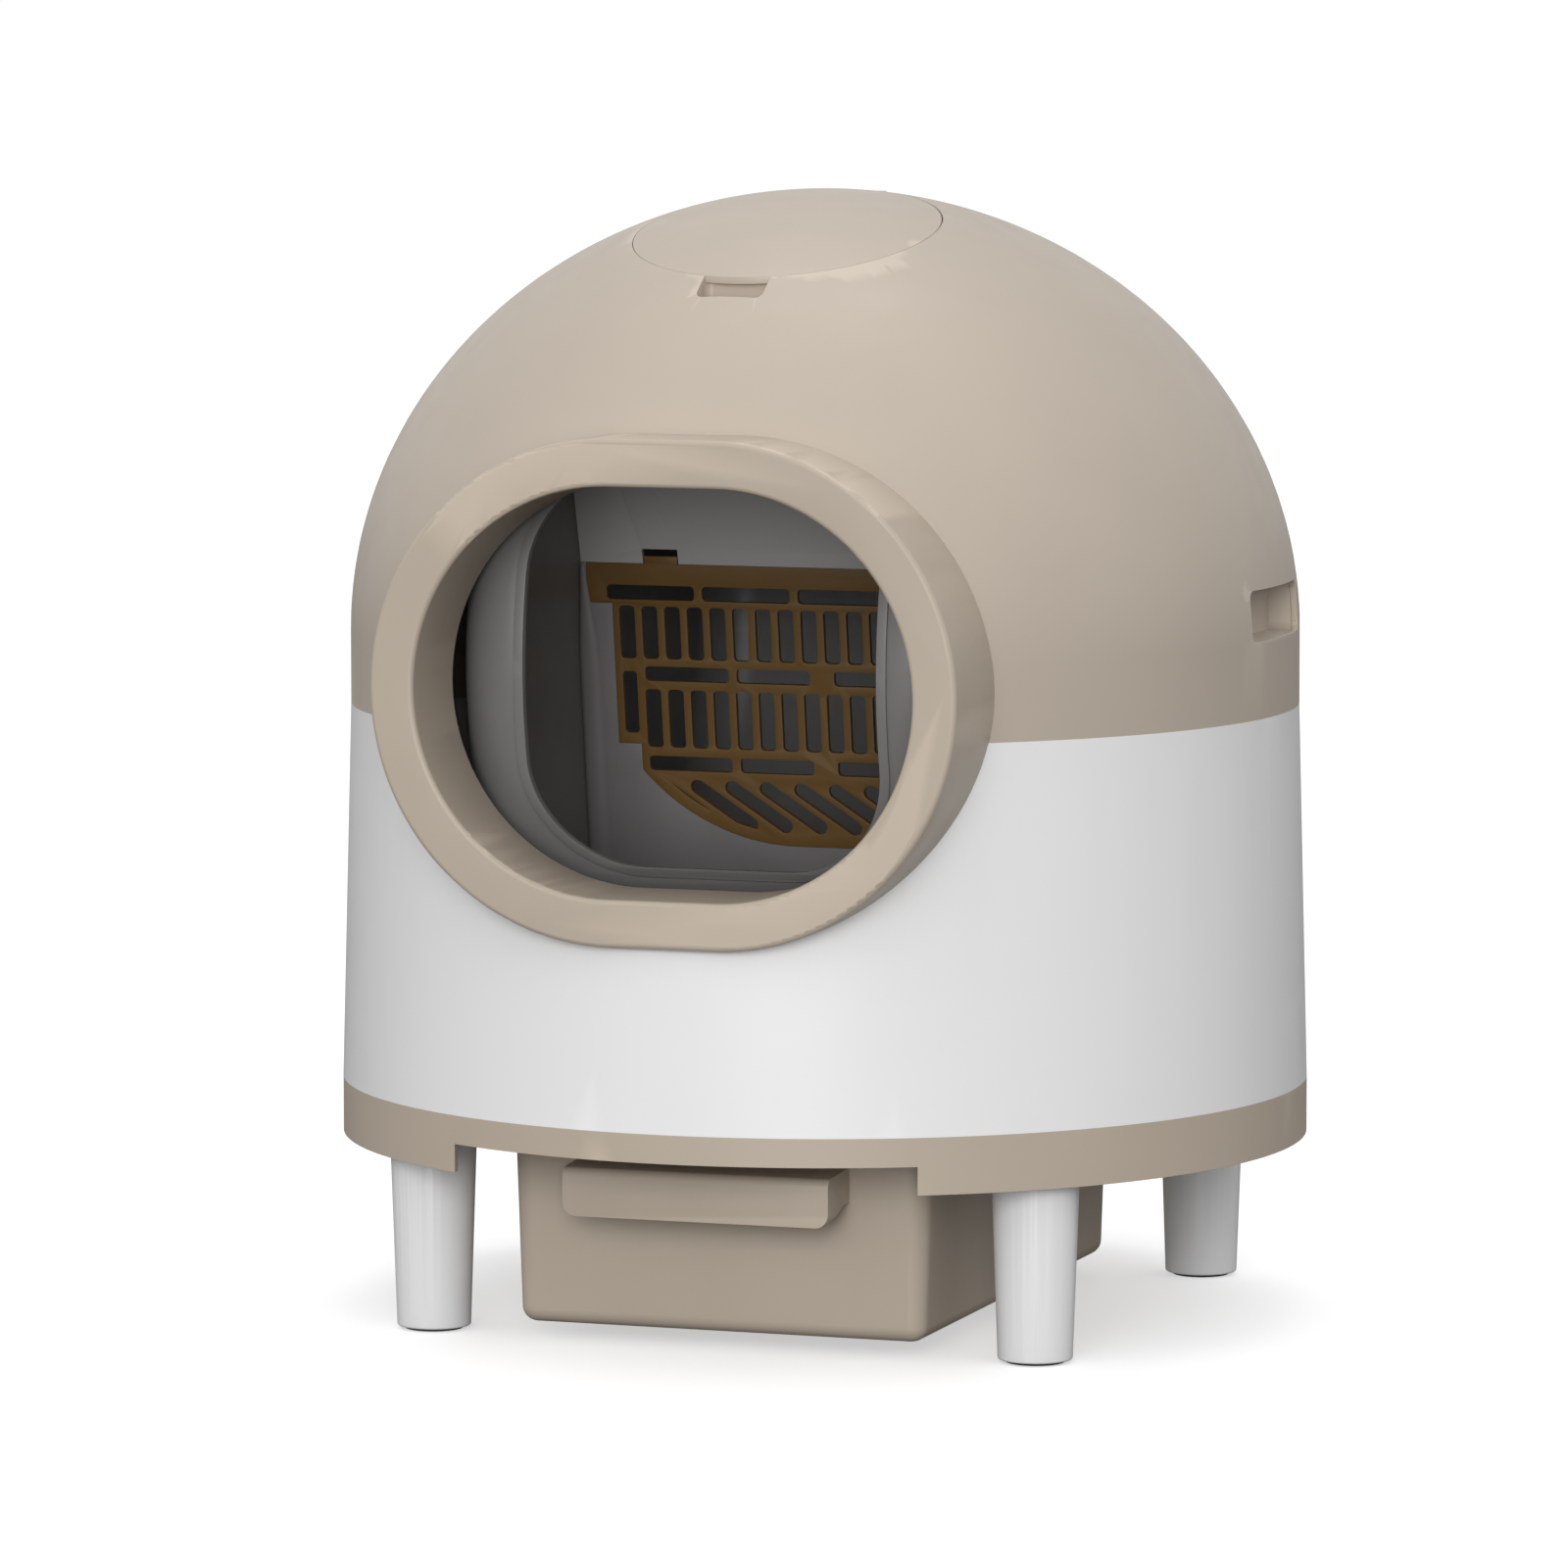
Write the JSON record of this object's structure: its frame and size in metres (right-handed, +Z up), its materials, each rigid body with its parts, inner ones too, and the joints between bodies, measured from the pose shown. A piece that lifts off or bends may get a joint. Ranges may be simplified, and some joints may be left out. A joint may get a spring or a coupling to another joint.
{
  "type": "cat litter box with hood",
  "caption": "Round self-cleaning cat litter box: domed lift-off hood with an oval entrance, sieve drum turning on a cross axle, waste drawer below, on four tapered legs.",
  "frame": {"origin": "on the floor, under the middle of the round body", "axes": "+Z up, entrance towards -Y, the drum's axle along X"},
  "size_m": [0.5, 0.508, 0.578],
  "materials": {
    "hood_beige": "satin moulded plastic, warm beige",
    "trim_tan": "satin moulded plastic, grey tan",
    "shell_white": "satin white moulded plastic",
    "drum_charcoal": "dark grey moulded plastic",
    "deflector_grey": "mid grey moulded plastic",
    "sieve_bronze": "ochre bronze moulded plastic",
    "pad_rubber": "matt rubber",
    "frame_black": "black moulded plastic",
    "gear_natural": "natural acetal",
    "steel": "zinc plated steel"
  },
  "bodies": {
    "base": {"base_chassis": "trim_tan", "leg_front_left": "shell_white", "leg_front_right": "shell_white", "leg_rear_left": "shell_white", "leg_rear_right": "shell_white", "foot_pad_front_left": "pad_rubber", "foot_pad_front_right": "pad_rubber", "foot_pad_rear_left": "pad_rubber", "foot_pad_rear_right": "pad_rubber", "leg_screws": "steel", "body_shell": "shell_white", "shell_screws": "steel", "drawer_rail_left": "trim_tan", "drawer_rail_right": "trim_tan", "waste_chute": "trim_tan", "side_tower_left": "frame_black", "side_tower_right": "frame_black", "tower_screws": "steel", "bearing_bush_left": "gear_natural", "bearing_bush_right": "gear_natural", "gearmotor": "steel", "control_housing": "frame_black", "power_inlet": "frame_black"},
    "hood": {"hood": "hood_beige", "hatch_frame": "hood_beige", "grip_cup_left": "hood_beige", "grip_cup_right": "hood_beige", "entrance_collar": "trim_tan", "hatch_hinge_pin": "steel"},
    "hatch": {"top_hatch": "hood_beige", "hatch_hinge_knuckle": "hood_beige"},
    "drawer": {"waste_drawer": "trim_tan", "drawer_handle": "trim_tan"},
    "drum": {"drum_front_shell": "drum_charcoal", "drum_rear_shell": "drum_charcoal", "mouth_trim": "drum_charcoal", "divider": "drum_charcoal", "sieve": "sieve_bronze", "deflector_plate": "deflector_grey", "trunnion_left": "frame_black", "trunnion_right": "frame_black", "retaining_clip_left": "steel", "retaining_clip_right": "steel", "drum_gear": "gear_natural"},
    "pinion": {"pinion": "gear_natural"},
    "button": {"power_button": "frame_black"}
  },
  "joints": [
    {"name": "hood_lift", "type": "slide", "parent": "base", "child": "hood", "axis": [0, 0, 1], "range_m": [0, 0.33]},
    {"name": "hatch_hinge", "type": "hinge", "parent": "hood", "child": "hatch", "pos_m": [0, 0.027, 0.57222], "axis": [-1, 0, 0], "range_deg": [0, 75]},
    {"name": "drawer_slide", "type": "slide", "parent": "base", "child": "drawer", "axis": [0, -1, 0], "range_m": [0, 0.28]},
    {"name": "drum_spin", "type": "hinge", "parent": "base", "child": "drum", "pos_m": [0, 0, 0.345], "axis": [1, 0, 0], "continuous": true},
    {"name": "pinion_spin", "type": "hinge", "parent": "base", "child": "pinion", "pos_m": [0.14, 0.07955, 0.26545], "axis": [1, 0, 0], "continuous": true},
    {"name": "button_press", "type": "slide", "parent": "base", "child": "button", "axis": [0, -1, 0], "range_m": [0, 0.0015], "stiffness_N_per_m": 300}
  ],
  "couplings": [
    {"joint": "pinion_spin", "follows": "drum_spin", "ratio": -4}
  ]
}
